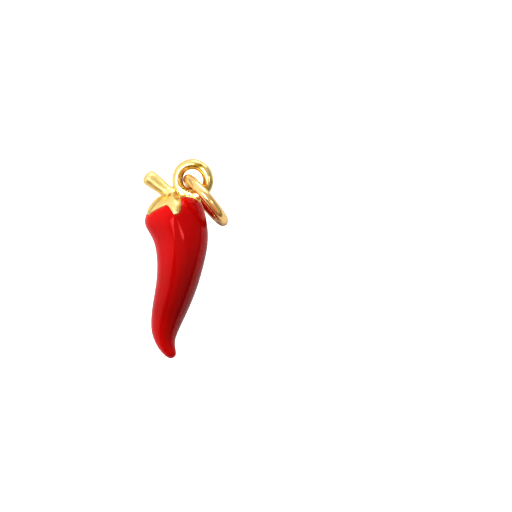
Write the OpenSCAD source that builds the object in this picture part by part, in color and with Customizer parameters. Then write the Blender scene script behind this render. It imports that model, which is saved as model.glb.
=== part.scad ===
// Chili pepper charm that lies on its side on a flat surface, in millimetres.
// The charm is drawn upright, seen from its front: x to the right, y up, z towards the viewer,
// with the crown, where the stem starts, at the origin. It is then laid down with +Z up.

/* [Pepper body] */
// Widest size of the pepper, from the left shoulder to the belly
pepper_width = 5.45; // [5.1:0.01:5.8]
// Height from the crown to the tip
pepper_length = 14.05; // [13:0.05:15]
// Thickness from front to back
pepper_depth = 4.88; // [4.6:0.01:5.2]
// Height of the soft ridges that run down from the calyx, as a share of the radius
ridge_share = 0.02; // [0:0.005:0.03]

/* [Enamel] */
// Thickness of the enamel coat
enamel_wall = 0.25; // [0.15:0.01:0.3]
// Gap between the enamel and the metal
seat_gap = 0.02; // [0.01:0.01:0.04]

/* [Calyx] */
// How far the calyx stands above the enamel at its edge
calyx_rise = 0.04; // [0:0.01:0.08]
// How far the middle rib of a lobe stands above the calyx's edge
rib_rise = 0.1; // [0:0.01:0.15]

/* [Stem] */
// Length of the stem outside the crown
stem_length = 2.55; // [1.8:0.05:3]
// Diameter where the stem leaves the crown
stem_base_d = 1.14; // [0.9:0.02:1.3]
// Diameter near the free end
stem_end_d = 1.38; // [1.1:0.02:1.6]
// Angle of the stem above the level, on the left side
stem_angle = 38; // [25:1:55]

/* [Hanging loop] */
// Outer diameter of the loop
loop_od = 3.66; // [3.6:0.02:3.9]
// Diameter of the loop's wire
loop_wire = 0.94; // [0.88:0.02:0.94]
// How far the loop's face is turned to the left
loop_turn = 4; // [0:1:8]

/* [Jump ring] */
// Outer diameter of the jump ring
ring_od = 5.55; // [5.4:0.05:6]
// Diameter of the jump ring's wire
ring_wire = 0.88; // [0.7:0.02:0.88]
// Angle below the level at which the ring falls to the right
ring_fall = 50; // [45:0.5:60]
// Width of the closed butt seam
seam_gap = 0.03; // [0.02:0.01:0.1]

/* [Lying pose] */
// Angle at which the crown end is raised, so that the pepper rests on the thick part of its belly
lie_tilt = 4.3; // [3:0.1:7]
// Angle at which the pepper has rolled towards its left side, which is the heavier one
lie_roll = 10; // [4:0.1:12]

/* [Hidden] */
gold = [0.93, 0.76, 0.36];
red = [0.74, 0.02, 0.03];

// The pepper's cross sections from crown to tip, in mm, each between its left and its right outline point.
// Columns: left x, left y, right x, right y, half depth
LEFT_X = 0;
LEFT_Y = 1;
RIGHT_X = 2;
RIGHT_Y = 3;
HALF_DEPTH = 4;
TABLE_WIDTH = 5.45;
TABLE_LENGTH = 14.25;
TABLE_DEPTH = 4.88;
sections = [
    [ 0.00,   0.02,  0.00,   0.02, 0.00],
    [-0.42,  -0.03,  0.48,   0.03, 0.46],
    [-0.84,  -0.16,  1.00,   0.03, 0.95],
    [-1.25,  -0.42,  1.55,   0.00, 1.42],
    [-1.62,  -0.78,  2.08,  -0.10, 1.84],
    [-1.92,  -1.20,  2.52,  -0.42, 2.14],
    [-2.14,  -1.66,  2.78,  -1.00, 2.33],
    [-2.29,  -2.14,  2.93,  -1.62, 2.42],
    [-2.21,  -2.66,  3.05,  -2.30, 2.45],
    [-1.86,  -3.22,  3.14,  -3.00, 2.44],
    [-1.50,  -3.86,  3.16,  -3.76, 2.40],
    [-1.30,  -4.66,  3.08,  -4.62, 2.35],
    [-1.22,  -5.60,  2.88,  -5.58, 2.27],
    [-1.24,  -6.70,  2.58,  -6.70, 2.17],
    [-1.37,  -7.78,  2.25,  -7.80, 2.05],
    [-1.58,  -8.86,  1.84,  -8.90, 1.91],
    [-1.77,  -9.92,  1.36,  -9.98, 1.73],
    [-1.87, -10.94,  0.86, -11.00, 1.50],
    [-1.86, -11.80,  0.46, -11.84, 1.28],
    [-1.64, -12.56,  0.20, -12.50, 1.08],
    [-1.34, -13.20,  0.16, -13.08, 0.88],
    [-0.93, -13.74,  0.27, -13.60, 0.63],
    [-0.53, -14.12,  0.28, -14.00, 0.34],
    [-0.14, -14.26, -0.14, -14.26, 0.00]
];
LAST = len(sections) - 1;

// The edge of the calyx round the crown: its five pointed lobes, the notches between them, and the
// foot of the hanging loop, which the lobe on the right runs out under.
// Columns: angle (0 is right, 90 is front), place on the table of sections, height of the lobe's rib
// as a share, bow of the edge on the way to the next row, steps on that way
EDGE_ANGLE = 0;
EDGE_PLACE = 1;
EDGE_RIB = 2;
EDGE_BOW = 3;
EDGE_STEPS = 4;
calyx_edge = [
    [  2.0, 5.25, 1.0, 0.8, 2],
    [ 14.5, 4.62, 0.5, 1.0, 3],
    [ 24.0, 2.90, 0.2, 1.0, 3],
    [ 52.0, 2.85, 0.0, 1.0, 2],
    [ 62.5, 4.60, 0.1, 1.0, 2],
    [ 69.5, 6.15, 0.4, 1.0, 1],
    [ 76.0, 6.45, 1.0, 1.0, 1],
    [ 82.0, 6.40, 0.8, 1.7, 4],
    [100.0, 4.50, 0.0, 1.1, 5],
    [148.0, 6.00, 1.0, 1.4, 4],
    [186.0, 4.50, 0.0, 1.4, 4],
    [226.0, 6.40, 1.0, 1.4, 4],
    [262.0, 4.20, 0.0, 1.4, 4],
    [298.0, 5.60, 1.0, 1.4, 4],
    [322.0, 3.20, 0.0, 1.0, 2],
    [336.0, 3.10, 0.2, 1.0, 3],
    [347.0, 5.00, 0.5, 1.0, 2]
];
CORNERS = len(calyx_edge);

// Gap along the calyx's edge, and the size of one place and of one degree there
edge_gap = 0.03;
place_mm = 0.6;
degree_mm = 0.04;

// Rings of the mesh
calyx_rings = 5;
skirt_rings = 4;
skirt_end = 8;
ring_step = 0.75;
body_rings = round((LAST - skirt_end) / ring_step) - 1;
step_small = 0.01;
ridges = 5;
ridge_angle = 82;
ridge_fade_start = 9;
ridge_fade_end = 19;

// Where the stem's axis leaves the crown, how far it reaches into the casting, and the rounding of its end
stem_start = [-0.15, 0.19, 0];
stem_root = 0.7;
stem_corner = 0.42;
// Round bead of solder between the stem and the loop
solder_d = 0.9;
solder_at = [0.1, 0.08, 0];
loop_centre = [1.93, 1.31, 0];
// Where the jump ring's wire lies in the loop's hole, from the loop's centre
wire_in_hole = [-0.39, 0.07, 0];
// Lean of the jump ring's face away from the viewer's line of sight
ring_lean = 5.8;
// The seam's place round the ring, from its right end down towards the resting edge
seam_angle = 40;

loop_r = (loop_od - loop_wire) / 2;
ring_r = (ring_od - ring_wire) / 2;

function unit(v) = v / norm(v);
function mix(a, b, t) = a + (b - a) * t;
function ease(t) = let (s = min(1, max(0, t))) s * s * (3 - 2 * s);

// Past a pole a section comes back with its left and right sides changed over.
function turned(row) = [row[RIGHT_X], row[RIGHT_Y], row[LEFT_X], row[LEFT_Y], -row[HALF_DEPTH]];
function row_at(i) =
    i < 0 ? turned(sections[-i]) :
    i > LAST ? turned(sections[2 * LAST - i]) : sections[i];

// The section at any place between the rows, by a cubic B-spline, so that the skin has no creases.
function section_at(place) =
    let (i = floor(place), t = place - i)
    (pow(1 - t, 3) * row_at(i - 1)
        + (3 * t * t * t - 6 * t * t + 4) * row_at(i)
        + (-3 * t * t * t + 3 * t * t + 3 * t + 1) * row_at(i + 1)
        + t * t * t * row_at(i + 2)) / 6;

// Five soft ridges, one below each lobe of the calyx, strongest at the shoulder.
function swell(place, angle) =
    1 + ridge_share * cos(ridges * (angle - ridge_angle))
        * (1 - ease((place - ridge_fade_start) / (ridge_fade_end - ridge_fade_start)));

// A point of the pepper's outer skin.
function skin(place, angle) =
    let (
        s = section_at(place),
        out = swell(place, angle),
        across = [s[RIGHT_X] - s[LEFT_X], s[RIGHT_Y] - s[LEFT_Y]] / 2,
        middle = [s[RIGHT_X] + s[LEFT_X], s[RIGHT_Y] + s[LEFT_Y]] / 2,
        p = middle + across * cos(angle) * out
    )
    [
        p[0] * pepper_width / TABLE_WIDTH,
        p[1] * pepper_length / TABLE_LENGTH,
        s[HALF_DEPTH] * sin(angle) * out * pepper_depth / TABLE_DEPTH
    ];

// The skin's outward direction there.
function outward(place, angle) = unit(cross(
    skin(place - step_small, angle) - skin(place + step_small, angle),
    skin(place, angle + 1) - skin(place, angle - 1)
));

// A point of the skin moved outwards.
function raised(place, angle, height) = skin(place, angle) + height * outward(place, angle);

// The angles of the mesh's columns, with the edge's place and the rib's height there.
columns = [
    for (k = [0 : CORNERS - 1])
        let (
            here = calyx_edge[k],
            next = calyx_edge[(k + 1) % CORNERS],
            turn = (next[EDGE_ANGLE] - here[EDGE_ANGLE] + 360) % 360,
            down = next[EDGE_PLACE] > here[EDGE_PLACE]
        )
        for (i = [0 : here[EDGE_STEPS] - 1])
            let (
                t = i / here[EDGE_STEPS],
                bowed = down ? pow(t, here[EDGE_BOW]) : 1 - pow(1 - t, here[EDGE_BOW])
            )
            [
                here[EDGE_ANGLE] + turn * t,
                mix(here[EDGE_PLACE], next[EDGE_PLACE], bowed),
                mix(here[EDGE_RIB], next[EDGE_RIB], t)
            ]
];
ANGLE = 0;
EDGE = 1;
RIB = 2;
COUNT = len(columns);

// How steeply the calyx's edge runs from one column to the next, and the enamel's place below it,
// so that the gap between the two is even.
function steepness(i) =
    let (a = columns[i % COUNT], b = columns[(i + 1) % COUNT], turn = (b[ANGLE] - a[ANGLE] + 360) % 360)
    abs(b[EDGE] - a[EDGE]) * place_mm / (turn * degree_mm);
enamel_edge = [
    for (i = [0 : COUNT - 1])
        let (steep = max(steepness(i), steepness(i + COUNT - 1)))
        columns[i][EDGE] + edge_gap / place_mm * sqrt(1 + steep * steep)
];

// Places of a column's rings, from the calyx's edge down to the last ring before the tip.
function body_places(edge) = [
    for (i = [0 : skirt_rings - 1]) mix(edge, skirt_end, i / skirt_rings),
    for (i = [0 : body_rings]) skirt_end + i * ring_step
];
BODY_ROWS = skirt_rings + body_rings + 1;

function body_grid(height) = [
    for (j = [0 : BODY_ROWS - 1]) [
        for (i = [0 : COUNT - 1])
            raised(body_places(enamel_edge[i])[j], columns[i][ANGLE], height)
    ]
];
function tip(height) = skin(LAST, 0) + height * tip_direction;
tip_direction = unit(skin(LAST, 0) - (skin(LAST - 1, 0) + skin(LAST - 1, 180)) / 2);
crown_direction = unit(skin(0, 0) - (skin(1, 0) + skin(1, 180)) / 2);

// The calyx's rings, which rise to a rib in the middle of each lobe.
calyx_grid = [
    for (j = [1 : calyx_rings])
        let (t = j / calyx_rings)
        [for (c = columns) raised(c[EDGE] * t, c[ANGLE], calyx_rise + rib_rise * c[RIB] * sin(180 * t))]
];

// A closed mesh of rings with a pole at each end. Each quad is split along its shorter diagonal.
module closed_rings(first_pole, rings, last_pole) {
    n = len(rings[0]);
    last = len(rings) - 1;
    points = concat([first_pole], [for (r = rings, p = r) p], [last_pole]);
    far = len(points) - 1;
    polyhedron(points, concat(
        [for (i = [0 : n - 1]) [0, 1 + i, 1 + (i + 1) % n]],
        [for (j = [0 : last - 1], i = [0 : n - 1])
            let (a = 1 + j * n + i, b = 1 + j * n + (i + 1) % n, c = a + n, d = b + n)
            each norm(points[b] - points[c]) < norm(points[a] - points[d])
                ? [[a, c, b], [b, c, d]]
                : [[a, c, d], [a, d, b]]],
        [for (i = [0 : n - 1]) [far, 1 + last * n + (i + 1) % n, 1 + last * n + i]]
    ));
}

// Core and calyx in one skin: over the calyx, down its edge, and along the core to the tip.
module core_and_calyx() {
    depth = -(enamel_wall + seat_gap);
    foot_of_edge = [for (c = columns) raised(c[EDGE], c[ANGLE], depth)];
    closed_rings(
        skin(0, 0) + calyx_rise * crown_direction,
        concat(calyx_grid, [foot_of_edge], body_grid(depth)),
        tip(depth)
    );
}

module stem() {
    base_r = stem_base_d / 2;
    end_r = stem_end_d / 2;
    side = stem_length - stem_corner;
    translate(stem_start)
        rotate([0, -90, 0])
            rotate([-stem_angle, 0, 0])
                rotate_extrude($fn = 64) {
                    polygon([[0, -stem_root], [base_r, -stem_root], [base_r, 0],
                        [end_r, side], [end_r - stem_corner, stem_length], [0, stem_length]]);
                    intersection() {
                        translate([end_r - stem_corner, side]) circle(r = stem_corner, $fn = 48);
                        translate([0, side]) square([end_r, stem_corner]);
                    }
                }
}

module hanging_loop() {
    translate(loop_centre)
        rotate([0, -loop_turn, 0])
            rotate_extrude($fn = 96) translate([loop_r, 0]) circle(d = loop_wire, $fn = 48);
}

// Lays the upright charm down.
raise_crown = [
    [1, 0, 0],
    [0, cos(lie_tilt), -sin(lie_tilt)],
    [0, sin(lie_tilt), cos(lie_tilt)]
];
roll_left = [
    [cos(lie_roll), 0, -sin(lie_roll)],
    [0, 1, 0],
    [sin(lie_roll), 0, cos(lie_roll)]
];
lie = roll_left * raise_crown;
fall = [cos(ring_fall), -sin(ring_fall), 0];

function ring_reach(centre, axis, r, wire, way) =
    centre * way + r * sqrt(1 - pow(axis * way, 2)) + wire / 2;

body_points = concat([for (ring = body_grid(0), p = ring) lie * p], [lie * tip(0)]);
stem_way = [-cos(stem_angle), sin(stem_angle), 0];
stem_end = lie * (stem_start + (stem_length - stem_corner) * stem_way);
stem_flat = stem_end_d / 2 - stem_corner;
low_x = stem_end[0] - stem_flat * sin(stem_angle) - stem_corner;
low_y = min([for (p = body_points) p[1]]);
low_z = min([for (p = body_points) p[2]]);

// The jump ring stands on its edge, so its height is its own, and the rest follows from the loop's hole.
ring_axis = [sin(ring_fall) * cos(ring_lean), cos(ring_fall) * cos(ring_lean), -sin(ring_lean)];
ring_height = low_z + ring_r * cos(ring_lean) + ring_wire / 2;
hole = lie * loop_centre;
hole_rise = hole[2] - ring_height;
ring_span = sqrt(ring_r * ring_r - hole_rise * hole_rise);
ring_centre = [
    hole[0] + wire_in_hole[0] + ring_span * fall[0],
    hole[1] + wire_in_hole[1] + ring_span * fall[1],
    ring_height
];
high_x = ring_reach(ring_centre, ring_axis, ring_r, ring_wire, [1, 0, 0]);
loop_axis = lie * [-sin(loop_turn), 0, cos(loop_turn)];
high_y = ring_reach(hole, loop_axis, loop_r, loop_wire, [0, 1, 0]);
origin_shift = -[(low_x + high_x) / 2, (low_y + high_y) / 2, low_z];

module lying() {
    translate(origin_shift) rotate([lie_tilt, -lie_roll, 0]) children();
}

module pepper_casting() {
    color(gold) lying() {
        core_and_calyx();
        union() {
            stem();
            hanging_loop();
            translate(solder_at) sphere(d = solder_d, $fn = 48);
        }
    }
}

module red_enamel() {
    outer = body_grid(0);
    inner = body_grid(-enamel_wall);
    inner_upwards = [for (j = [BODY_ROWS - 1 : -1 : 0]) inner[j]];
    color(red) lying() closed_rings(tip(-enamel_wall), concat(inner_upwards, outer), tip(0));
}

module jump_ring() {
    seam_turn = seam_gap / ring_r * 180 / PI;
    color(gold)
        translate(origin_shift + ring_centre)
            rotate([0, 0, -ring_fall])
                rotate([-90 + ring_lean, 0, 0])
                    rotate([0, 0, seam_angle])
                        rotate_extrude(angle = 360 - seam_turn, $fn = 96)
                            translate([ring_r, 0]) circle(d = ring_wire, $fn = 48);
}

pepper_casting();
red_enamel();
jump_ring();
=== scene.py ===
# %% [markdown]
# # A chili pepper charm in red enamel and gold plate
# The charm is about 17 mm long. It is cast in metal, plated with gold, and its body is coated with
# red enamel. Here it lies on a white table, seen from straight above.
# The shapes come first, then the finishes, and the table, lights and camera at the end.
#
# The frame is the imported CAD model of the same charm. It gives the place and size of each piece, in
# metres, so nothing here has to be fitted by eye.

# %% Load the frame
import math

import bpy
import mathutils
import numpy as np
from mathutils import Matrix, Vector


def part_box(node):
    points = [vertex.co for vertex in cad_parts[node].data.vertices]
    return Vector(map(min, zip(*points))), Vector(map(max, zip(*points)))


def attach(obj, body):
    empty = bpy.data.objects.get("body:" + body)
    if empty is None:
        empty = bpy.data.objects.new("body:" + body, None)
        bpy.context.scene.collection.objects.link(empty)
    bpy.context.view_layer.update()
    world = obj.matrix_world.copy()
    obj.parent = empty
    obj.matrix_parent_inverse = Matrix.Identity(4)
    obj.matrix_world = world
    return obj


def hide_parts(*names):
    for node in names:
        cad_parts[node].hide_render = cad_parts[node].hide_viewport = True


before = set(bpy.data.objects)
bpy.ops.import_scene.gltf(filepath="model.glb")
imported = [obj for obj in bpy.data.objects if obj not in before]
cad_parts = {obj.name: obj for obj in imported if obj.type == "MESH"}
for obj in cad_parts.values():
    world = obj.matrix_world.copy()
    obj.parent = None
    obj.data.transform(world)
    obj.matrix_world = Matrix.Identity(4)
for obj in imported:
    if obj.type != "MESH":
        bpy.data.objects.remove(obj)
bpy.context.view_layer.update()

MM = 0.001
print("nodes in the frame:", sorted(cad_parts))

# %% [markdown]
# ## The pepper's skin
# The real pepper bends to the left and back to the right, and its sections are ovals that tilt with
# the bend. It could be sculpted, but a table of sections is easier to read and to change.
# Each row gives the left and right point of the outline and half the thickness there. A cubic
# B-spline runs through the rows, so the skin has no creases of its own.
# All shapes are worked out upright in millimetres, with x to the right, y up, z to the viewer and
# the crown, where the stem starts, at the origin.

# %% Sections from crown to tip
# Columns: left x, left y, right x, right y, half depth
SECTIONS = np.array([
    [ 0.00,   0.02,  0.00,   0.02, 0.00],
    [-0.42,  -0.03,  0.48,   0.03, 0.46],
    [-0.84,  -0.16,  1.00,   0.03, 0.95],
    [-1.25,  -0.42,  1.55,   0.00, 1.42],
    [-1.62,  -0.78,  2.08,  -0.10, 1.84],
    [-1.92,  -1.20,  2.52,  -0.42, 2.14],
    [-2.14,  -1.66,  2.78,  -1.00, 2.33],
    [-2.29,  -2.14,  2.93,  -1.62, 2.42],
    [-2.21,  -2.66,  3.05,  -2.30, 2.45],
    [-1.86,  -3.22,  3.14,  -3.00, 2.44],
    [-1.50,  -3.86,  3.16,  -3.76, 2.40],
    [-1.30,  -4.66,  3.08,  -4.62, 2.35],
    [-1.22,  -5.60,  2.88,  -5.58, 2.27],
    [-1.24,  -6.70,  2.58,  -6.70, 2.17],
    [-1.37,  -7.78,  2.25,  -7.80, 2.05],
    [-1.58,  -8.86,  1.84,  -8.90, 1.91],
    [-1.77,  -9.92,  1.36,  -9.98, 1.73],
    [-1.87, -10.94,  0.86, -11.00, 1.50],
    [-1.86, -11.80,  0.46, -11.84, 1.28],
    [-1.64, -12.56,  0.20, -12.50, 1.08],
    [-1.34, -13.20,  0.16, -13.08, 0.88],
    [-0.93, -13.74,  0.27, -13.60, 0.63],
    [-0.53, -14.12,  0.28, -14.00, 0.34],
    [-0.14, -14.26, -0.14, -14.26, 0.00],
])
LAST = len(SECTIONS) - 1
# The table was drawn for a slightly longer pepper than this one
TABLE_LENGTH = 14.25
PEPPER_LENGTH = 14.05
LENGTH_SCALE = PEPPER_LENGTH / TABLE_LENGTH
pepper_length = float(np.ptp(SECTIONS[:, 1])) * LENGTH_SCALE
print("sections:", len(SECTIONS), "pepper length, mm:", round(pepper_length, 2))


# %% A smooth run through the sections
def section_at(place):
    """The section at any place, by the uniform cubic B-spline's four weights on the rows around it.
    Past a pole a section comes back with its left and right sides changed over."""
    turned = SECTIONS[:, [2, 3, 0, 1, 4]] * [1, 1, 1, 1, -1]
    rows = np.concatenate([turned[2:0:-1], SECTIONS, turned[-2:-4:-1]])
    first = np.clip(np.floor(place).astype(int), 0, LAST)
    t = (place - first)[..., None]
    weights = [(1 - t) ** 3, 3 * t ** 3 - 6 * t ** 2 + 4, -3 * t ** 3 + 3 * t ** 2 + 3 * t + 1, t ** 3]
    return sum(w * rows[first + 1 + k] for k, w in enumerate(weights)) / 6.0


print("half depth in the middle, mm:", round(float(section_at(np.array(LAST / 2))[4]), 2))

# %% [markdown]
# ## Ridges of the pepper
# A pepper is not quite round: low ridges run down from the calyx, one under each lobe. The front one
# is sharp near the top and is the line where the light changes. It could be sculpted, but a factor on
# the section's size is enough: a cosine for the low ridges, and a pointed bump for the sharp one. Both
# fade out on the way to the tip, as on the real charm.

# %% Ridges
RIDGES = 5
RIDGE_ANGLE = 82.0
RIDGE_SHARE = 0.02
RIDGE_FADE = (9.0, 19.0)
# The sharp ridge starts at the front lobe's tip and wanders to the left, in degrees for each section
CREST_ANGLE = 80.0
CREST_SHARE = 0.05
CREST_WIDTH = 10.0
CREST_ROUND = 1.2
CREST_START = 6.4
CREST_DRIFT = 3.2
CREST_FADE = (9.5, 14.0)


def ease(t):
    """A smooth step: three squares minus two cubes of t, held between 0 and 1."""
    t = np.clip(t, 0.0, 1.0)
    return t * t * (3.0 - 2.0 * t)


def swell(place, angle):
    """One plus the ridges: a cosine with five crests round the pepper, and a crest that falls off
    with the root of the squared angle away from it plus a small square, so its top is rounded."""
    low = RIDGE_SHARE * np.cos(np.radians(RIDGES * (angle - RIDGE_ANGLE)))
    low = low * (1.0 - ease((place - RIDGE_FADE[0]) / (RIDGE_FADE[1] - RIDGE_FADE[0])))
    crest_angle = CREST_ANGLE + CREST_DRIFT * (place - CREST_START)
    away = np.abs((angle - crest_angle + 180.0) % 360.0 - 180.0)
    crest = CREST_SHARE * np.exp(-np.sqrt(away ** 2 + CREST_ROUND ** 2) / CREST_WIDTH)
    crest = crest * (1.0 - ease((place - CREST_FADE[0]) / (CREST_FADE[1] - CREST_FADE[0])))
    return 1.0 + low + crest * ease(place / CREST_START)


most_swell = float(swell(CREST_START, np.arange(360.0)).max())
print("most that the skin stands out, as a share:", round(most_swell - 1.0, 3))

# %% [markdown]
# ## Points on the skin
# A point of the skin has two parameters: the place on the sections and the angle round them, with 0
# at the right and 90 in front. Whole arrays of both go in and an array of points comes out. Pieces
# that stand proud of the skin, or sink into it, are the same points moved straight out or in.

# %% Skin
HALF_STEP = 0.01
HALF_DEGREE = 0.5


def skin(place, angle):
    """The middle of the section, plus the way to its right point times cosine, plus depth times sine."""
    place, angle = np.broadcast_arrays(np.asarray(place, float), np.asarray(angle, float))
    s = section_at(place)
    out = swell(place, angle)
    around = np.radians(angle)
    across = np.cos(around) * out
    x = (s[..., 2] + s[..., 0]) / 2 + (s[..., 2] - s[..., 0]) / 2 * across
    y = (s[..., 3] + s[..., 1]) / 2 + (s[..., 3] - s[..., 1]) / 2 * across
    z = s[..., 4] * np.sin(around) * out
    return np.stack([x, y * LENGTH_SCALE, z], axis=-1)


def unit(v):
    """Each vector divided by its length."""
    return v / np.linalg.norm(v, axis=-1, keepdims=True)


def raised(place, angle, height):
    """The skin moved along its outward direction, the cross product of its two slopes."""
    along = skin(place - HALF_STEP, angle) - skin(place + HALF_STEP, angle)
    around = skin(place, angle + HALF_DEGREE) - skin(place, angle - HALF_DEGREE)
    outward = unit(np.cross(along, around))
    return skin(place, angle) + np.asarray(height)[..., None] * outward


whole_skin = skin(np.linspace(0, LAST, 100)[:, None], np.arange(360.0))
print("pepper from left to right, mm:", round(float(np.ptp(whole_skin[..., 0])), 2))

# %% [markdown]
# ## The edge of the calyx
# The calyx is the green star on a real pepper. On the charm it is bare gold, and the enamel stops at
# its edge: five pointed lobes with notches between them. The edge could be drawn as a curve on the
# surface and cut with a Boolean, but here both gold and enamel are grids that start from the same
# edge, so they always meet.

# %% Edge of the calyx
# Columns: angle (0 is right, 90 is front), place on the sections, height of the lobe's rib as a
# share, bow of the edge on the way to the next row. The back is not in the photograph: its two lobes
# are like the others.
CALYX_EDGE = np.array([
    [  2.0, 5.25, 1.0, 0.8],
    [ 14.5, 4.62, 0.5, 1.0],
    [ 24.0, 2.90, 0.2, 1.0],
    [ 52.0, 2.85, 0.0, 1.0],
    [ 62.5, 4.60, 0.1, 1.0],
    [ 69.5, 6.15, 0.4, 1.0],
    [ 76.0, 6.45, 1.0, 1.0],
    [ 82.0, 6.40, 0.8, 1.7],
    [100.0, 4.50, 0.0, 1.1],
    [148.0, 6.00, 1.0, 1.4],
    [186.0, 4.50, 0.0, 1.4],
    [226.0, 6.40, 1.0, 1.4],
    [262.0, 4.20, 0.0, 1.4],
    [298.0, 5.60, 1.0, 1.4],
    [322.0, 3.20, 0.0, 1.0],
    [336.0, 3.10, 0.2, 1.0],
    [347.0, 5.00, 0.5, 1.0],
])
COLUMNS = 480
ANGLES = np.arange(COLUMNS) * 360.0 / COLUMNS


def calyx_edge(angles):
    """Place of the edge and height of the rib at each angle. Between two rows the share of the way is
    raised to the row's bow, counted from the row that lies nearer to the crown."""
    rows = np.concatenate([CALYX_EDGE, CALYX_EDGE[:1] + [360.0, 0, 0, 0]])
    turn = (angles - rows[0, 0]) % 360.0 + rows[0, 0]
    k = np.searchsorted(rows[:, 0], turn, side="right") - 1
    here = rows[k]
    there = rows[k + 1]
    t = (turn - here[:, 0]) / (there[:, 0] - here[:, 0])
    bowed = np.where(there[:, 1] > here[:, 1], t ** here[:, 3], 1.0 - (1.0 - t) ** here[:, 3])
    return here[:, 1] + (there[:, 1] - here[:, 1]) * bowed, here[:, 2] + (there[:, 2] - here[:, 2]) * t


EDGE, RIB = calyx_edge(ANGLES)
print("edge between places", EDGE.min().round(2), "and", EDGE.max().round(2))

# %% [markdown]
# ## From upright to lying
# The charm lies on the thick part of its belly and rolls a little towards its heavier left side.
# The objects could be turned, but their places have to be in their meshes, so the points are turned.
# Two turns and a move do it. The move is read from the frame: the enamel's lowest corner there is
# where the enamel's lowest corner has to be here.

# %% Lay the charm down
LIE_TILT = math.radians(4.3)
LIE_ROLL = math.radians(10.0)
BELLY_ROWS = 200
RAISE_CROWN = np.array([
    [1, 0, 0],
    [0, math.cos(LIE_TILT), -math.sin(LIE_TILT)],
    [0, math.sin(LIE_TILT), math.cos(LIE_TILT)],
])
ROLL_LEFT = np.array([
    [math.cos(LIE_ROLL), 0, -math.sin(LIE_ROLL)],
    [0, 1, 0],
    [math.sin(LIE_ROLL), 0, math.cos(LIE_ROLL)],
])
LIE = ROLL_LEFT @ RAISE_CROWN
belly = skin(np.linspace(EDGE.max(), LAST, BELLY_ROWS)[:, None], ANGLES[None, :]) @ LIE.T
SHIFT = np.array(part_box("red_enamel")[0]) - belly.reshape(-1, 3).min(axis=0) * MM


def lay_down(points):
    """Upright millimetres turned, moved and given in metres in the frame."""
    return points @ LIE.T * MM + SHIFT


print("crown in the frame, mm:", (SHIFT / MM).round(3))

# %% [markdown]
# ## Grids to meshes
# Every surface below is an array of rings of points. This helper joins each ring to the next with
# quads, closes the ends with a point or joins the last ring to the first, and makes the object.

# %% Mesh helper
def ring_faces(rings, count, wrap):
    """Quads between each ring and the next, as rows of four point numbers."""
    j = np.arange(rings if wrap else rings - 1)[:, None]
    i = np.arange(count)[None, :]
    low = j * count
    high = (j + 1) % rings * count
    after = (i + 1) % count
    return np.stack([low + i, high + i, high + after, low + after], axis=-1).reshape(-1, 4)


def fan_faces(pole, ring, count):
    """Triangles from a pole to a ring that starts at the point numbered ring."""
    i = np.arange(count)
    return np.stack([np.full(count, pole), ring + i, ring + (i + 1) % count], axis=-1)


def volume(points, quads, triangles):
    """A sixth of the sum of the triple products of all triangles' corners: positive if they face out."""
    corners = points[np.concatenate([quads[:, :3], quads[:, [0, 2, 3]], triangles])]
    return (corners[:, 0] * np.cross(corners[:, 1], corners[:, 2])).sum() / 6.0


print("quads in a small band of 3 rings of 8:", len(ring_faces(3, 8, wrap=False)))

# %% [markdown]
# ## Painted shade and reflections on the gold
# Dark olive-brown strokes are painted on the gold: painted shade along the lobes and the stem, and
# painted reflections of dark surroundings on the loop and along the jump ring's lower edge. It could
# be painted on an image, but a short table of strokes is enough. Each stroke's strength goes into an
# attribute of the mesh's points, and the gold material reads it.

# %% Strokes of painted shade and painted reflection
# Seen from above in the frame, in millimetres.
# Columns: x and y of one end, x and y of the other end, half width, strength
CASTING_PAINTED_SHADE = np.array([
    [ 0.30, 7.86,  0.75, 7.92, 0.18, 0.75],
    [ 0.80, 7.93,  1.30, 7.95, 0.25, 1.00],
    [ 1.95, 5.95,  2.25, 6.55, 0.22, 0.60],
    [-0.45, 6.20, -0.45, 7.10, 0.22, 0.35],
    [-0.62, 6.25, -0.62, 6.70, 0.16, 0.55],
    [-1.42, 5.42, -1.30, 5.50, 0.10, 0.90],
    [-0.80, 5.05, -0.62, 5.02, 0.09, 0.60],
    [-0.44, 5.00, -0.48, 3.95, 0.06, 0.80],
    [-3.10, 3.95, -2.62, 4.65, 0.07, 0.55],
    [-2.62, 4.65, -1.70, 5.50, 0.07, 0.50],
])
# The jump ring gets painted shade where it lies inside the loop, and a painted reflection of dark
# surroundings along its lower edge
RING_PAINTED_SHADE = np.array([
    [-0.10, 7.30, -0.02, 6.85, 0.17, 0.75],
    [ 0.34, 6.75,  0.64, 6.26, 0.05, 0.70],
    [ 2.35, 4.12,  3.00, 3.25, 0.06, 0.50],
    [ 2.72, 3.08,  3.15, 2.80, 0.10, 0.80],
    [ 3.15, 2.80,  3.50, 2.95, 0.10, 0.60],
])


def painted_shade_at(points, strokes):
    """The strongest share of all strokes: strength times a bell of the distance from the stroke."""
    flat = points[:, None, :2] / MM
    start = strokes[:, 0:2]
    along = strokes[:, 2:4] - start
    share = ((flat - start) * along).sum(axis=-1) / (along ** 2).sum(axis=-1)
    near = start + np.clip(share, 0.0, 1.0)[..., None] * along
    distance = np.sqrt(((flat - near) ** 2).sum(axis=-1))
    return (strokes[:, 5] * np.exp(-(distance / strokes[:, 4]) ** 2)).max(axis=1)


print("strokes of tarnish:", len(CASTING_PAINTED_SHADE), "on the casting,", len(RING_PAINTED_SHADE), "on the ring")

# %% [markdown]
# ## From grids to an object
# The casting is several closed grids in one mesh, as the real one is several forms soldered together.
# This class collects grids, turns their faces outwards, and makes one object of them. Each point
# also gets a number for its finish: 0 is satin as cast, 1 is polished wire, 2 is the soldered foot.


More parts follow.
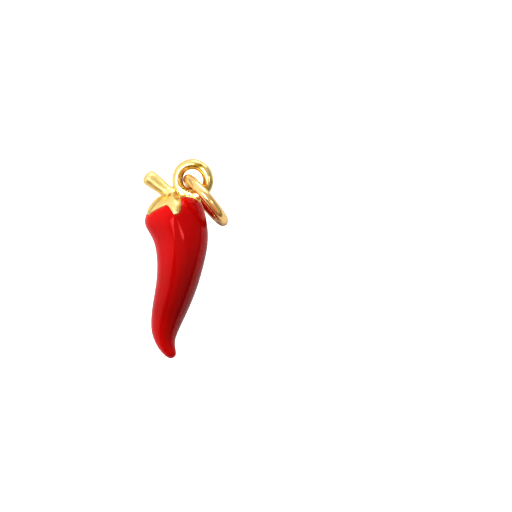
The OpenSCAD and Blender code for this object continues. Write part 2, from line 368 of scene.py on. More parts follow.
# %% Surface collector
class Surface:
    """Collects closed grids of points into one mesh, each with a number for its finish."""

    def __init__(self, strokes=None):
        self.strokes = strokes
        self.points, self.quads, self.triangles, self.finish = [], [], [], []
        self.count = 0

    def add(self, points, quads, triangles, finish):
        """One closed grid, its faces turned outwards if its volume comes out negative."""
        if volume(points, quads, triangles) < 0:
            quads = quads[:, ::-1]
            triangles = triangles[:, ::-1]
        self.points.append(points)
        self.quads.append(quads + self.count)
        self.triangles.append(triangles + self.count)
        self.finish.append(np.broadcast_to(finish, len(points)))
        self.count += len(points)

    def closed_rings(self, first_pole, rings, last_pole, finish=0.0):
        """Rings from one pole to the other."""
        count = rings.shape[1]
        points = np.concatenate([first_pole[None], rings.reshape(-1, 3), last_pole[None]])
        far = len(points) - 1
        fans = np.concatenate([fan_faces(0, 1, count), fan_faces(far, far - count, count)[:, ::-1]])
        self.add(points, ring_faces(len(rings), count, wrap=False) + 1, fans, finish)

    def wrapped_rings(self, rings, finish=0.0):
        """Rings that meet themselves again, as on a torus."""
        quads = ring_faces(len(rings), rings.shape[1], wrap=True)
        self.add(rings.reshape(-1, 3), quads, np.empty((0, 3), int), finish)

    def make(self, name):
        """The mesh object, smooth shaded, with the finish as an attribute of its points."""
        points = np.concatenate(self.points)
        faces = np.concatenate(self.quads).tolist() + np.concatenate(self.triangles).tolist()
        mesh = bpy.data.meshes.new(name)
        mesh.from_pydata(points, [], faces)
        mesh.shade_smooth()
        values = {"finish": np.concatenate(self.finish)}
        # The strokes' strength, painted shade and painted reflection, becomes a second attribute
        if self.strokes is not None:
            values["painted_shade"] = painted_shade_at(points, self.strokes)
        for label, numbers in values.items():
            attribute = mesh.attributes.new(label, "FLOAT", "POINT")
            attribute.data.foreach_set("value", numbers.astype(np.float32))
        mesh.update()
        piece = bpy.data.objects.new(name, mesh)
        bpy.context.scene.collection.objects.link(piece)
        print(name, len(points), "points,", len(faces), "faces")
        return piece


# %% [markdown]
# ## Red enamel
# On the real charm the enamel is glass, melted into the hollow of the body, so its face is smooth and
# full, and it rounds down where it meets the gold. The grid runs from the calyx's edge to the tip. Its
# height falls in a short quarter round near the edge, by the true distance from the edge.

# %% Rows of the enamel coat
ENAMEL_WALL = 0.25
EDGE_GAP = 0.02
# One section is about this far from the next, and one degree is about this far round, in millimetres
PLACE_MM = 0.6
DEGREE_MM = 0.04
LIP_DROP = 0.05
LIP_WIDTH = 0.22
LIP_ROWS = 14
LIP_REACH = 0.9
BODY_ROWS = 110
# The core under the coat has the same rows, so that the two walls keep their distance
INNER_ROWS = 30
# The rows of the lip stand closer together near the edge: their shares are raised to this power
LIP_CROWDING = 1.5
# The last ring stays this share of a section away from the tip's point
TIP_RING = 0.12
edge_slope = np.gradient(np.concatenate([EDGE[-1:], EDGE, EDGE[:1]]))[1:-1] * PLACE_MM
edge_slope = edge_slope / (360.0 / COLUMNS * DEGREE_MM)
ENAMEL_EDGE = EDGE + EDGE_GAP / PLACE_MM * np.sqrt(1.0 + edge_slope ** 2)
near = np.linspace(0, 1, LIP_ROWS, endpoint=False)[:, None] ** LIP_CROWDING * LIP_REACH
BODY_TOP = ENAMEL_EDGE + LIP_REACH
far = np.linspace(0, 1, BODY_ROWS, endpoint=False)[:, None]
END_PLACE = LAST - TIP_RING
ENAMEL_PLACES = np.concatenate([ENAMEL_EDGE + near, BODY_TOP + (END_PLACE - BODY_TOP) * far])
print("rings of the enamel's face:", len(ENAMEL_PLACES))


# %% Enamel coat
# Rows further down than these count as far from the edge and aren't measured
LIP_ROWS_MEASURED = LIP_ROWS + 12
FAR_FROM_EDGE = 9.0
# The distances are worked out in this many parts, which keeps the arrays small
PARTS = 40


def distance_to_edge(points):
    """Shortest distance from each point to the points of the calyx's edge."""
    rim = skin(EDGE, ANGLES)
    flat = points.reshape(-1, 3)
    found = np.concatenate([
        np.sqrt(((part[:, None, :] - rim[None, :, :]) ** 2).sum(axis=-1)).min(axis=1)
        for part in np.array_split(flat, PARTS)
    ])
    return found.reshape(points.shape[:-1])


edge_distance = np.full(ENAMEL_PLACES.shape, FAR_FROM_EDGE)
edge_distance[:LIP_ROWS_MEASURED] = distance_to_edge(skin(ENAMEL_PLACES[:LIP_ROWS_MEASURED], ANGLES))
lip = np.clip(1.0 - (edge_distance - EDGE_GAP) / LIP_WIDTH, 0.0, 1.0)
outer = raised(ENAMEL_PLACES, ANGLES, -LIP_DROP * lip ** 2)
inner_places = ENAMEL_EDGE + (END_PLACE - ENAMEL_EDGE) * np.linspace(1, 0, INNER_ROWS)[:, None]
inner = raised(inner_places, ANGLES, np.full(inner_places.shape, -ENAMEL_WALL))
tip = skin(float(LAST), 0.0)
tip_way = unit(tip - skin(LAST - 1.0, np.array([0.0, 180.0])).mean(axis=0))
enamel_surface = Surface()
enamel_surface.closed_rings(
    lay_down(tip - ENAMEL_WALL * tip_way), lay_down(np.concatenate([inner, outer])), lay_down(tip))
enamel = enamel_surface.make("red_enamel_coat")

# %% [markdown]
# ## The unevenness of a small casting
# A small casting is polished by hand, so its faces are never quite true, and the light on them
# wanders. A bump in the material would change the light only. Here the points themselves move by a
# few hundredths of a millimetre, by three sine waves that run in different directions.


# %% Cast waves
def cast_waves(points, length):
    """The mean of three sines that run in different directions, one turn of each in about length."""
    x, y, z = points[..., 0], points[..., 1], points[..., 2]
    turn = 2.0 * np.pi / length
    first = np.sin(turn * (x + 0.6 * y))
    second = np.sin(turn * (0.8 * y - 0.5 * x + 0.4 * z) + 1.0)
    third = np.sin(turn * (0.7 * z + 0.3 * x - 0.6 * y) + 2.0)
    return (first + second + third) / 3.0


print("waves at the crown:", float(cast_waves(skin(0.0, 0.0), 1.0).round(3)))

# %% [markdown]
# ## Calyx and core
# The gold star stands a little above the enamel, and each lobe is a low roof with a rib down its
# middle. Under the enamel the same casting goes on as the core. One closed grid makes both: over the
# star, down its edge, and along the core to the tip. So star and core are one piece of metal, as the
# real ones are, and no wall ends in the open.

# %% Calyx and core
CALYX_RISE = 0.05
RIB_RISE = 0.15
RIB_FULLNESS = 0.8
STAR_ROUND = 0.03
SEAT_GAP = 0.02
CALYX_ROWS = 56
CAST_WAVE = 0.014
CAST_WAVE_LENGTH = 1.3
# The first ring is a little way from the crown's point, where the waves start from nothing
FIRST_RING = 0.02
WAVE_START = 1.0 / 3.0
t = np.linspace(FIRST_RING, 1.0, CALYX_ROWS)[:, None]
roof = RIB * np.sin(np.pi * t) ** RIB_FULLNESS
round_edge = STAR_ROUND * np.clip((t - 1.0 + STAR_ROUND) / STAR_ROUND, 0, 1) ** 2
uneven = CAST_WAVE * ease(t / WAVE_START) * cast_waves(skin(EDGE * t, ANGLES), CAST_WAVE_LENGTH)
star = raised(EDGE * t, ANGLES, CALYX_RISE + RIB_RISE * roof - round_edge + uneven)
core_places = ENAMEL_EDGE + (END_PLACE - ENAMEL_EDGE) * np.linspace(0, 1, INNER_ROWS)[:, None]
depth = -(ENAMEL_WALL + SEAT_GAP)
foot = raised(EDGE, ANGLES, np.full(COLUMNS, depth))[None]
core = raised(core_places, ANGLES, np.full(core_places.shape, depth))
crown = skin(0.0, 0.0)
crown_way = unit(crown - skin(1.0, np.array([0.0, 180.0])).mean(axis=0))
casting_surface = Surface(CASTING_PAINTED_SHADE)
casting_surface.closed_rings(
    lay_down(crown + CALYX_RISE * crown_way),
    lay_down(np.concatenate([star, foot, core])),
    lay_down(tip + depth * tip_way),
)
print("rings of star and core:", len(star) + 1 + len(core))

# %% [markdown]
# ## Stem
# The stem is a short round rod that widens to a full, rounded end. It grows out of the crown with a
# small collar. A curve with a bevel could give it, but a profile turned round the stem's axis gives
# every radius as a number that can be measured in the photograph.

# %% Stem profile
STEM_START = np.array([-0.15, 0.19, 0.0])
STEM_ANGLE = math.radians(38.0)
STEM_WAY = np.array([-math.cos(STEM_ANGLE), math.sin(STEM_ANGLE), 0.0])
STEM_SIDE = np.array([math.sin(STEM_ANGLE), math.cos(STEM_ANGLE), 0.0])
# Columns: distance along the stem, radius
STEM_PROFILE = np.array([
    [-0.70, 0.60],
    [-0.35, 0.74],
    [-0.10, 0.70],
    [ 0.12, 0.62],
    [ 0.35, 0.57],
    [ 0.75, 0.58],
    [ 1.20, 0.63],
    [ 1.70, 0.68],
    [ 2.05, 0.70],
    [ 2.24, 0.66],
    [ 2.39, 0.56],
    [ 2.49, 0.41],
    [ 2.54, 0.22],
    [ 2.55, 0.08],
])
PROFILE_STEPS = 8
STEM_POINTS = 96
STEM_WAVE = 0.025
STEM_WAVE_LENGTH = 1.1
print("stem length beyond its start, mm:", STEM_PROFILE[-1, 0])


# %% Stem
def spline_rows(rows, steps):
    """A Catmull-Rom curve through the rows, with as many steps between two of them."""
    padded = np.concatenate([2 * rows[:1] - rows[1:2], rows, 2 * rows[-1:] - rows[-2:-1]])
    a, b, c, d = (padded[k:len(padded) - 3 + k, None, :] for k in range(4))
    t = np.linspace(0, 1, steps, endpoint=False)[None, :, None]
    curve = 0.5 * (2 * b + (c - a) * t + (2 * a - 5 * b + 4 * c - d) * t ** 2
                   + (3 * b - a - 3 * c + d) * t ** 3)
    return np.concatenate([curve.reshape(-1, rows.shape[1]), rows[-1:]])


def turned_about(start, way, side, profile, count):
    """A profile of distance and radius turned round an axis."""
    around = np.linspace(0, 2 * np.pi, count, endpoint=False)
    third = np.cross(way, side)
    spoke = np.cos(around)[:, None] * side + np.sin(around)[:, None] * third
    return start + profile[:, None, :1] * way + profile[:, None, 1:] * spoke


stem_profile = spline_rows(STEM_PROFILE, PROFILE_STEPS)
stem_rings = turned_about(STEM_START, STEM_WAY, STEM_SIDE, stem_profile, STEM_POINTS)
stem_axis = STEM_START + stem_profile[:, None, :1] * STEM_WAY
stem_rings = stem_axis + (stem_rings - stem_axis) * (
    1.0 + STEM_WAVE * cast_waves(stem_rings, STEM_WAVE_LENGTH)[..., None])
casting_surface.closed_rings(
    lay_down(STEM_START + STEM_PROFILE[0, 0] * STEM_WAY),
    lay_down(stem_rings),
    lay_down(STEM_START + STEM_PROFILE[-1, 0] * STEM_WAY),
)
print("stem rings:", len(stem_rings))

# %% [markdown]
# ## Hanging loop and its solder
# The loop is a closed wire ring, soldered to the shoulder. A torus from the menu would be too
# perfect: on the real charm solder has run up the loop's foot and made the wire thicker, flatter on
# top and uneven there. So a circle is carried round a larger circle, and the wire's radius changes on
# the way. A round bead of solder fills the corner between loop and stem.


# %% Wire carried round a ring
def wire_ring(centre, first, second, radius, wire_r, turn, around):
    """A circle of wire_r carried round a circle of radius in the plane of first and second: the
    centre, plus the way out times radius and wire_r cosine, plus the axis times wire_r sine. wire_r
    is one number, or one for each point."""
    spoke = np.cos(turn)[:, None] * first + np.sin(turn)[:, None] * second
    axis = np.cross(first, second)
    out = radius + wire_r * np.cos(around) * np.ones((len(turn), 1))
    side = wire_r * np.sin(around) * np.ones((len(turn), 1))
    return centre + out[..., None] * spoke[:, None, :] + side[..., None] * axis


WIRE_COUNT = 64
WIRE_POINTS = np.linspace(0, 2 * np.pi, WIRE_COUNT, endpoint=False)
RING_STEPS = 240
print("points round the wire:", WIRE_COUNT)

# %% Hanging loop
LOOP_OD = 3.66
LOOP_WIRE = 0.94
LOOP_TURN = math.radians(4.0)
LOOP_CENTRE = np.array([1.93, 1.31, 0.0])
LOOP_FOOT = math.radians(248.0)
LOOP_FOOT_WIDTH = math.radians(32.0)
FOOT_SWELL = 0.04
FOOT_WAVE = 0.03
FOOT_WAVE_LENGTH = 0.45
# The power of the section's curve: 2 is a circle, and the foot has this much more, a rounded square
FOOT_SQUARE = 2.5
LOOP_WAVE = 0.012
LOOP_WAVE_LENGTH = 1.6
loop_first = np.array([math.cos(LOOP_TURN), 0.0, math.sin(LOOP_TURN)])
loop_second = np.array([0.0, 1.0, 0.0])
loop_turn = np.linspace(0, 2 * np.pi, RING_STEPS, endpoint=False)
foot_share = np.exp(-((loop_turn - LOOP_FOOT) / LOOP_FOOT_WIDTH) ** 2)[:, None]
loop_r = (LOOP_OD - LOOP_WIRE) / 2
loop_frame = (LOOP_CENTRE, loop_first, loop_second, loop_r)
plain_loop = wire_ring(*loop_frame, LOOP_WIRE / 2, loop_turn, WIRE_POINTS)
wire_power = 2.0 + FOOT_SQUARE * foot_share
squared = np.abs(np.cos(WIRE_POINTS)) ** wire_power + np.abs(np.sin(WIRE_POINTS)) ** wire_power
squared = squared ** (-1.0 / wire_power)
loop_wire_r = LOOP_WIRE / 2 - LOOP_WAVE + LOOP_WAVE * cast_waves(plain_loop, LOOP_WAVE_LENGTH)
loop_wire_r = loop_wire_r + foot_share * (FOOT_SWELL + FOOT_WAVE * cast_waves(plain_loop, FOOT_WAVE_LENGTH))
loop_rings = wire_ring(*loop_frame, loop_wire_r * squared, loop_turn, WIRE_POINTS)
loop_finish = np.repeat(1.0 + foot_share[:, 0], WIRE_COUNT)
casting_surface.wrapped_rings(lay_down(loop_rings), finish=loop_finish)
print("loop's wire radius from", loop_wire_r.min().round(3), "to", (loop_wire_r * squared).max().round(3))

# %% Bead of solder
SOLDER_AT = np.array([0.1, 0.08, 0.0])
SOLDER_D = 0.9
BEAD_RINGS = 24
BEAD_POINTS = 48
# The first and last ring stay this share of half a turn away from the middle, so they have a size
BEAD_END = 0.48
latitude = np.linspace(-BEAD_END, BEAD_END, BEAD_RINGS) * np.pi
bead = np.stack([np.sin(latitude), np.cos(latitude)], axis=-1) * SOLDER_D / 2
casting_surface.closed_rings(
    lay_down(SOLDER_AT - SOLDER_D / 2 * STEM_WAY),
    lay_down(turned_about(SOLDER_AT, STEM_WAY, STEM_SIDE, bead, BEAD_POINTS)),
    lay_down(SOLDER_AT + SOLDER_D / 2 * STEM_WAY),
)
casting = casting_surface.make("gold_casting")

# %% [markdown]
# ## Jump ring
# The jump ring is round wire bent to a ring, with a closed butt seam: the cut is still there as a
# hair line. It stands on its edge and leans in the loop. A torus would hide the cut, so the same wire
# function runs almost once round and both ends are closed. The ring's centre is the middle of its box
# in the frame.

# %% Jump ring
RING_OD = 5.55
RING_WIRE = 0.88
RING_FALL = math.radians(50.0)
RING_LEAN = math.radians(5.8)
SEAM_ANGLE = math.radians(40.0)
SEAM_GAP = 0.03
ring_r = (RING_OD - RING_WIRE) / 2
ring_box = np.array(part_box("jump_ring")) / MM
ring_centre = ring_box.mean(axis=0)
ring_first = np.array([math.cos(RING_FALL), -math.sin(RING_FALL), 0.0])
ring_axis = np.array([
    math.sin(RING_FALL) * math.cos(RING_LEAN),
    math.cos(RING_FALL) * math.cos(RING_LEAN),
    -math.sin(RING_LEAN),
])
ring_second = np.cross(ring_axis, ring_first)
seam_half = SEAM_GAP / ring_r / 2
ring_turn = np.linspace(SEAM_ANGLE + seam_half, SEAM_ANGLE + 2 * np.pi - seam_half, RING_STEPS)
ring_rings = wire_ring(ring_centre, ring_first, ring_second, ring_r, RING_WIRE / 2, ring_turn, WIRE_POINTS)
ring_surface = Surface(RING_PAINTED_SHADE)
ring_surface.closed_rings(ring_rings[0].mean(axis=0) * MM, ring_rings * MM, ring_rings[-1].mean(axis=0) * MM)
jump_ring = ring_surface.make("jump_ring_wire")

# %% [markdown]
# ## The frame's pieces give way to these
# Each CAD solid is hidden and one of the pieces above stands for it. The three pieces belong to the
# one body of the charm, because nothing on it is guided by a joint.

# %% Pieces ride on the frame
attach(casting, "root")
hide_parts("pepper_casting")
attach(enamel, "root")
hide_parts("red_enamel")
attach(jump_ring, "root")
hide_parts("jump_ring")
for piece in (casting, enamel, jump_ring):
    print(piece.name, "box in mm:", [round(side / MM, 2) for side in piece.dimensions])

# %% [markdown]
# ## Materials
# One helper adds a node with its settings and links, and one turns a colour from a colour picker's
# hex value to the linear numbers that Blender's shaders use. All patterns read Object coordinates,
# which are in metres, so a pattern's scale is one divided by its size in metres.


# %% Material helpers
def linear(hex_colour, alpha=1.0):
    """An sRGB hex colour as linear red, green, blue and alpha."""
    parts = np.array([int(hex_colour[k:k + 2], 16) / 255 for k in (1, 3, 5)])
    bright = np.where(parts <= 0.04045, parts / 12.92, ((parts + 0.055) / 1.055) ** 2.4)
    return (*bright.tolist(), alpha)


def add_node(tree, kind, links=None, **settings):
    """Adds a node. settings are its properties, or its inputs' values by socket name or number, in
    values; links are its inputs by the same names, each joined to an output socket."""
    made = tree.nodes.new(kind)
    values = settings.pop("values", {})
    for name, value in settings.items():
        setattr(made, name, value)
    for name, value in values.items():
        made.inputs[name].default_value = value
    for name, output in (links or {}).items():
        tree.links.new(output, made.inputs[name])
    return made


def new_material(name):
    """An empty node material with a Principled shader on its output."""
    material = bpy.data.materials.new(name)
    material.use_nodes = True
    tree = material.node_tree
    tree.nodes.clear()
    shader = add_node(tree, "ShaderNodeBsdfPrincipled")
    add_node(tree, "ShaderNodeOutputMaterial", {"Surface": shader.outputs["BSDF"]})
    return material, tree, shader


def set_values(shader, **values):
    """Sets the shader's sockets by name, with underscores for spaces."""
    for name, value in values.items():
        shader.inputs[name.replace("_", " ")].default_value = value


print("middle grey as linear numbers:", [round(part, 3) for part in linear("#808080")[:3]])

# %% [markdown]
# ## Red enamel
# The real coat is glass enamel or a hard resin sold as enamel. It is opaque, melted or cured smooth,
# and not polished afterwards, so its gloss is that of wet paint. What the eye gets from it is one
# strong red with clear, soft-edged reflections. A colour ramp along the pepper paints light and shade
# into the red: darker along the middle and lower half, as painted shade where the light falls off,
# and lighter at the tip and by the calyx. A soft cloud varies it. The coat's own face has long
# shallow waves, too low to model, so a weak bump gives them.

# %% Red enamel
ENAMEL_CLOUD = 1.4 * MM
ENAMEL_WAVE = 2.0 * MM
ENAMEL_WAVE_HEIGHT = 0.04 * MM
ENAMEL_WAVE_STRENGTH = 0.15
TIP_END = -8.5 * MM
CALYX_END = 5.0 * MM
# Columns: share of the way from the tip to the calyx, colour
# The ramp paints light and shade along the pepper: darker along the middle and lower half, lighter at the
# tip and by the calyx
REDS = [(0.02, "#DC0808"), (0.12, "#C40606"), (0.30, "#A60303"), (0.48, "#AE0404"), (0.70, "#C60606")]
CLOUD_RED = "#8C0202"
CLOUD_SHARE = 0.12
GLAZE_ROUGHNESS = 0.05
GLAZE_IOR = 1.55
GLAZE_TINT = "#FF8484"
material, tree, shader = new_material("glossy red enamel")
place = add_node(tree, "ShaderNodeTexCoord").outputs["Object"]
along = add_node(tree, "ShaderNodeSeparateXYZ", {0: place}).outputs["Y"]
share = add_node(tree, "ShaderNodeMapRange", {"Value": along}, values={1: TIP_END, 2: CALYX_END})
shade_along_pepper = add_node(tree, "ShaderNodeValToRGB", {"Fac": share.outputs["Result"]})
shade_along_pepper.color_ramp.elements[0].color = linear(REDS[0][1])
shade_along_pepper.color_ramp.elements[0].position = REDS[0][0]
shade_along_pepper.color_ramp.elements[1].color = linear(REDS[-1][1])
shade_along_pepper.color_ramp.elements[1].position = REDS[-1][0]
for stop, colour in REDS[1:-1]:
    shade_along_pepper.color_ramp.elements.new(stop).color = linear(colour)
cloud = add_node(tree, "ShaderNodeTexNoise", {"Vector": place},
                 values={"Scale": 1.0 / ENAMEL_CLOUD, "Detail": 3.0})
amount = add_node(tree, "ShaderNodeMapRange", {"Value": cloud.outputs["Fac"]},
                  values={3: 0.0, 4: CLOUD_SHARE})
tone = add_node(tree, "ShaderNodeMix", {"Factor": amount.outputs["Result"], 6: shade_along_pepper.outputs["Color"]},
                data_type="RGBA", values={7: linear(CLOUD_RED)})
wave = add_node(tree, "ShaderNodeTexNoise", {"Vector": place},
                values={"Scale": 1.0 / ENAMEL_WAVE, "Detail": 1.0})
bump = add_node(tree, "ShaderNodeBump", {"Height": wave.outputs["Fac"]},
                values={"Strength": ENAMEL_WAVE_STRENGTH, "Distance": ENAMEL_WAVE_HEIGHT})
tree.links.new(tone.outputs[2], shader.inputs["Base Color"])
tree.links.new(bump.outputs["Normal"], shader.inputs["Normal"])
set_values(shader, Roughness=GLAZE_ROUGHNESS, IOR=GLAZE_IOR, Specular_Tint=linear(GLAZE_TINT))
enamel.data.materials.append(material)
print("material:", material.name)

# %% [markdown]
# ## Gold plate
# The metal is cast brass or zinc under a thin coat of gold. The calyx and stem keep the satin face
# that tumbling leaves, while the loop and the jump ring are drawn wire and shine. What the eye gets is
# a pale yellow with warm shadows: soft on the star, sharp on the wire. The jump ring is a bought part
# with its own plating, a little rosier. One function makes both golds, and the finish attribute goes
# from satin to polished. The solder at the loop's foot has small pits, where it boiled. Real pits are
# a few hundredths of a millimetre wide, and these are drawn about a tenth wide, so that they show.

# %% Patterns on the gold
GOLD_CLOUD = 1.1 * MM
GOLD_WAVE = 0.6 * MM
GOLD_WAVE_HEIGHT = 0.03 * MM
GOLD_WAVE_STRENGTH = 0.3
# The roughness changes with the cloud by this share either way
CLOUD_ROUGHNESS = 0.3
PIT_SPACING = 0.2 * MM
# A pit is full within the first share of the spacing and gone past the second
PIT_RADIUS = (0.24, 0.36)
# A pit's dark tone is painted shade, the shade inside a small hole
PIT_PAINTED_SHADE = "#2A2010"
# Pits start at the first number of the finish and are all there from the second on
SOLDERED = (1.2, 1.5)
DULL_ROUGHNESS = 0.5
print("pit width in mm:", round(2 * PIT_RADIUS[1] * PIT_SPACING / MM, 3))


# %% Gold
def gold_material(name, light, dark, shade_tone, satin, polished):
    """Gold plate from the dark to the light tone in soft clouds. The finish attribute goes from the
    satin roughness at 0 to the polished one at 1."""
    material, tree, shader = new_material(name)
    place = add_node(tree, "ShaderNodeTexCoord").outputs["Object"]
    finish = add_node(tree, "ShaderNodeAttribute", attribute_name="finish").outputs["Fac"]
    # Strength of the painted shade and painted reflection strokes
    painted_shade = add_node(tree, "ShaderNodeAttribute", attribute_name="painted_shade").outputs["Fac"]

    # Clouds of tone, and the roughness that follows them
    cloud = add_node(tree, "ShaderNodeTexNoise", {"Vector": place},
                     values={"Scale": 1.0 / GOLD_CLOUD, "Detail": 4.0}).outputs["Fac"]
    tone = add_node(tree, "ShaderNodeMix", {"Factor": cloud}, data_type="RGBA",
                    values={6: linear(dark), 7: linear(light)})
    gloss = add_node(tree, "ShaderNodeMapRange", {"Value": finish}, values={3: satin, 4: polished})
    uneven = add_node(tree, "ShaderNodeMapRange", {"Value": cloud},
                      values={3: 1.0 - CLOUD_ROUGHNESS, 4: 1.0 + CLOUD_ROUGHNESS})
    roughness = add_node(tree, "ShaderNodeMath", {0: gloss.outputs["Result"], 1: uneven.outputs["Result"]},
                         operation="MULTIPLY")

    # Pits sit at the middles of the Voronoi cells, where the finish says soldered; their dark tone is
    # painted shade of small holes
    cells = add_node(tree, "ShaderNodeTexVoronoi", {"Vector": place}, values={"Scale": 1.0 / PIT_SPACING})
    hole = add_node(tree, "ShaderNodeMapRange", {"Value": cells.outputs["Distance"]},
                    values={1: PIT_RADIUS[0], 2: PIT_RADIUS[1], 3: 1.0, 4: 0.0})
    soldered = add_node(tree, "ShaderNodeMapRange", {"Value": finish},
                        values={1: SOLDERED[0], 2: SOLDERED[1]})
    pits = add_node(tree, "ShaderNodeMath", {0: hole.outputs["Result"], 1: soldered.outputs["Result"]},
                    operation="MULTIPLY")

    # Painted shade and painted reflection strokes take the darkest tone, a pit's painted shade is darker
    # still, and both are dull
    tone = add_node(tree, "ShaderNodeMix", {"Factor": painted_shade, 6: tone.outputs[2]},
                    data_type="RGBA", values={7: linear(shade_tone)})
    tone = add_node(tree, "ShaderNodeMix", {"Factor": pits.outputs[0], 6: tone.outputs[2]},
                    data_type="RGBA", values={7: linear(PIT_PAINTED_SHADE)})
    dull = add_node(tree, "ShaderNodeMath", {0: pits.outputs[0], 1: painted_shade}, operation="MAXIMUM")
    roughness = add_node(tree, "ShaderNodeMix", {"Factor": dull.outputs[0], 2: roughness.outputs[0]},
                         values={3: DULL_ROUGHNESS})

    # A fine ripple that breaks up the reflections
    wave = add_node(tree, "ShaderNodeTexNoise", {"Vector": place},
                    values={"Scale": 1.0 / GOLD_WAVE, "Detail": 2.0})
    bump = add_node(tree, "ShaderNodeBump", {"Height": wave.outputs["Fac"]},
                    values={"Strength": GOLD_WAVE_STRENGTH, "Distance": GOLD_WAVE_HEIGHT})
    tree.links.new(tone.outputs[2], shader.inputs["Base Color"])
    tree.links.new(roughness.outputs[0], shader.inputs["Roughness"])
    tree.links.new(bump.outputs["Normal"], shader.inputs["Normal"])
    set_values(shader, Metallic=1.0)
    print("material:", name)
    return material


# The darkest tone of each gold is the colour of its painted shade and painted reflection strokes
casting.data.materials.append(gold_material(
    "satin and polished yellow gold plate", light="#FFE59C", dark="#F2CE80", shade_tone="#86640F",
    satin=0.36, polished=0.12))
jump_ring.data.materials.append(gold_material(
    "polished rose-tinged gold plate", light="#FFDE9C", dark="#F4C67E", shade_tone="#8A4A12",
    satin=0.17, polished=0.17))

# %% [markdown]
# ## White table
# The charm lies on a bright white surface, so bright in the picture that nothing shows on it. A white
# cloth or paper would show a shadow. Here the plane glows a little, and more for the camera's own
# rays, which keeps it white without changing the light that it throws on the charm.

# %% Table
FLOOR_SIDE = 3.0
TABLE_GLOW = 0.22
TABLE_GLOW_SEEN = 1.2
TABLE_TONE = "#C8C8C8"
TABLE_ROUGHNESS = 0.6
WHITE = (1, 1, 1, 1)
half_side = FLOOR_SIDE / 2
corners = [(-half_side, -half_side, 0), (half_side, -half_side, 0),
           (half_side, half_side, 0), (-half_side, half_side, 0)]
floor_mesh = bpy.data.meshes.new("white_table")
floor_mesh.from_pydata(corners, [], [(0, 1, 2, 3)])
floor = bpy.data.objects.new("white_table", floor_mesh)
bpy.context.scene.collection.objects.link(floor)
material, tree, shader = new_material("white acrylic table")
set_values(shader, Base_Color=linear(TABLE_TONE), Roughness=TABLE_ROUGHNESS, Specular_IOR_Level=0.0,
           Emission_Color=WHITE)
seen = add_node(tree, "ShaderNodeLightPath").outputs["Is Camera Ray"]
table_glow = add_node(tree, "ShaderNodeMapRange", {"Value": seen},
                      values={3: TABLE_GLOW, 4: TABLE_GLOW_SEEN})
tree.links.new(table_glow.outputs["Result"], shader.inputs["Emission Strength"])
floor.data.materials.append(material)
print("table side in metres:", FLOOR_SIDE)

# %% [markdown]
# ## The studio that the charm mirrors
# Glossy enamel and gold show their surroundings, so the surroundings are most of the look. The
# photographer had a large softbox at the left, a white wall round the rest with a darker side at the
# near end, and a few small lamps. They could be lit planes, but as a sky worked out from directions
# they throw no shadow in any view and each is one line. Directions are seen from the charm: x to the
# right, y to the crown's end, z up.

# %% Sky helpers
world = bpy.data.worlds.new("studio")
bpy.context.scene.world = world
world.use_nodes = True
tree = world.node_tree
tree.nodes.clear()
way = add_node(tree, "ShaderNodeTexCoord").outputs["Generated"]
parts = add_node(tree, "ShaderNodeSeparateXYZ", {0: way}).outputs


def towards(direction):
    """How far the way looked at points in a direction, as the cosine of the angle between them."""
    made = add_node(tree, "ShaderNodeVectorMath", {0: way}, operation="DOT_PRODUCT",
                    values={1: unit(np.array(direction))})
    return made.outputs["Value"]


def ramp(value, low, high, first, last):
    """A smooth step of value, from first at low to last at high."""
    made = add_node(tree, "ShaderNodeMapRange", {"Value": value}, interpolation_type="SMOOTHSTEP",
                    values={1: low, 2: high, 3: first, 4: last})
    return made.outputs["Result"]


def patch(direction, rim, full, outside, inside):
    """A round patch of the sky with a soft rim: a smooth step of the cosine of the angle to its
    middle, from outside at the rim to inside where it is full."""
    return ramp(towards(direction), rim, full, outside, inside)


def combine(operation, first, second):
    """Two numbers joined by an operation."""
    return add_node(tree, "ShaderNodeMath", {0: first, 1: second}, operation=operation).outputs[0]


print("sky made:", world.name)

# %% Softbox and walls
# Columns: direction of the middle, cosine at the rim, cosine where it is full, value outside, inside.
# The softbox fills one side of the sky: its edge is the sharp line down the front of the pepper
SOFTBOX = ((-1.0, 0.7, -1.1), -0.04, 0.04, 0.0, 1.0)
TOP_LEFT = ((-0.3, 0.8, 0.5), 0.75, 0.93, 0.0, 1.0)
# The wall is brighter at the crown's end, with a pale spot at the near end
WALL = ((-0.5, 0.8, 0.35), -0.3, 0.6, 0.42, 0.62)
NEAR_SPOT = ((0.2, -0.6, 0.75), 0.75, 0.95, 0.0, 0.2)
# Two dark patches: a small one at the near left, the camera's stand, and a faint one at the right
CAMERA_STAND = ((-0.55, -0.4, 0.73), 0.95, 0.985, 1.0, 0.35)
RIGHT_PATCH = ((0.75, 0.15, 0.65), 0.86, 0.96, 1.0, 0.85)
# The wall is darkest below the low height and full above the top one. The top one is higher at the
# near end: from the first share of the way along y to the second, it falls from the third number to
# the fourth.
HORIZON_LOW = 0.05
HORIZON_DARK = 0.25
HORIZON_TOP = (-0.6, -0.2, 0.42, 0.2)
wall = combine("ADD", patch(*WALL), patch(*NEAR_SPOT))
horizon = add_node(
    tree, "ShaderNodeMapRange", {"Value": parts["Z"], 2: ramp(parts["Y"], *HORIZON_TOP)},
    interpolation_type="SMOOTHSTEP", values={1: HORIZON_LOW, 3: HORIZON_DARK, 4: 1.0})
for shade in (horizon.outputs["Result"], patch(*CAMERA_STAND), patch(*RIGHT_PATCH)):
    wall = combine("MULTIPLY", wall, shade)
glow = combine("MAXIMUM", patch(*SOFTBOX), combine("MAXIMUM", patch(*TOP_LEFT), wall))
print("sky nodes so far:", len(tree.nodes))

# %% Lamps
# The same columns as above
FAR_LAMP = ((0.2, 0.9, 0.15), 0.86, 0.96, 0.0, 2.5)
LEFT_LAMP = ((-0.42, -0.06, 0.9), 0.95, 0.975, 0.0, 4.0)
SMALL_LAMP = ((0.44, -0.06, 0.9), 0.993, 0.998, 0.0, 5.0)
# The left lamp is cut off towards the near end, between the first two of these shares along y
LEFT_LAMP_CUT = (-0.34, -0.24, 0.0, 1.0)
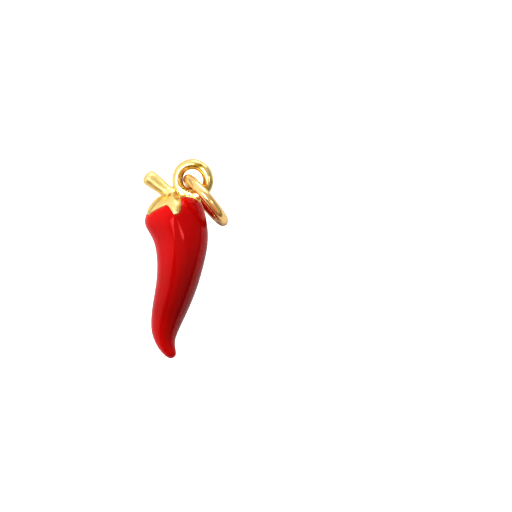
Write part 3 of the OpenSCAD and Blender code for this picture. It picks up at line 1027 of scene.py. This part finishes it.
# Low at the near end the light is warm, which is the orange in the gold's shadows
WARM_END = ((0.0, -0.85, 0.5), 0.7, 0.95, 0.0, 1.0)
WARM_TONE = "#FFC49C"
left_lamp = combine("MULTIPLY", patch(*LEFT_LAMP), ramp(parts["Y"], *LEFT_LAMP_CUT))
for lamp in (patch(*FAR_LAMP), left_lamp, patch(*SMALL_LAMP)):
    glow = combine("ADD", glow, lamp)
warm = add_node(tree, "ShaderNodeMix", {"Factor": patch(*WARM_END)}, data_type="RGBA",
                values={6: WHITE, 7: linear(WARM_TONE)})
print("lamps in the sky: 3")

# %% Sky
# The camera itself sees plain white past the table's edge
light = add_node(tree, "ShaderNodeBackground", {"Strength": glow, "Color": warm.outputs[2]})
pale = add_node(tree, "ShaderNodeBackground", values={"Color": WHITE, "Strength": 1.0})
seen = add_node(tree, "ShaderNodeLightPath").outputs["Is Camera Ray"]
sky = add_node(tree, "ShaderNodeMixShader", {0: seen, 1: light.outputs[0], 2: pale.outputs[0]})
add_node(tree, "ShaderNodeOutputWorld", {"Surface": sky.outputs[0]})
# The sky is for reflections only: the key light below gives the matt share of the light
world.cycles_visibility.diffuse = False
print("sky nodes:", len(tree.nodes))

# %% [markdown]
# ## Key light
# The red itself is lit by one very wide light from the left and the crown's end, so it is brightest
# there and falls off softly to the lower right. An area lamp would do as well, but a sun with a large
# angle has the same light everywhere on the charm. Reflections don't see it, because they have the
# sky.

# %% Key light
KEY_FROM = (-0.52, 0.78, 0.38)
KEY_ENERGY = 5.9
KEY_ANGLE = math.radians(140.0)
key = bpy.data.lights.new("soft_key", "SUN")
key.energy = KEY_ENERGY
key.angle = KEY_ANGLE
key_light = bpy.data.objects.new("soft_key", key)
key_light.rotation_euler = mathutils.Vector(KEY_FROM).to_track_quat("Z", "Y").to_euler()
key_light.visible_glossy = False
bpy.context.scene.collection.objects.link(key_light)
print("key light energy:", key.energy)

# %% [markdown]
# ## Camera
# The photograph looks straight down. Its 512 pixels span 43.76 mm at the charm's half height, and
# the charm lies left of the picture's middle. A long lens from 0.6 m keeps the outline almost free of
# perspective, as in the photograph.

# %% Camera
VIEW_WIDTH = 0.04376
VIEW_MIDDLE = (0.006019, 0.000229)
HALF_HEIGHT = 0.0026
CAMERA_DISTANCE = 0.6
SENSOR_WIDTH = 36.0
CLIP_END = 10.0
camera_data = bpy.data.cameras.new("camera")
camera_data.sensor_width = SENSOR_WIDTH
camera_data.lens = SENSOR_WIDTH * CAMERA_DISTANCE / VIEW_WIDTH
camera_data.clip_end = CLIP_END
camera = bpy.data.objects.new("camera", camera_data)
camera.location = (*VIEW_MIDDLE, HALF_HEIGHT + CAMERA_DISTANCE)
bpy.context.scene.collection.objects.link(camera)
bpy.context.scene.camera = camera
bpy.context.scene.view_settings.view_transform = "Standard"
bpy.context.scene.view_settings.look = "Medium High Contrast"
print("lens in mm:", round(camera_data.lens, 1))
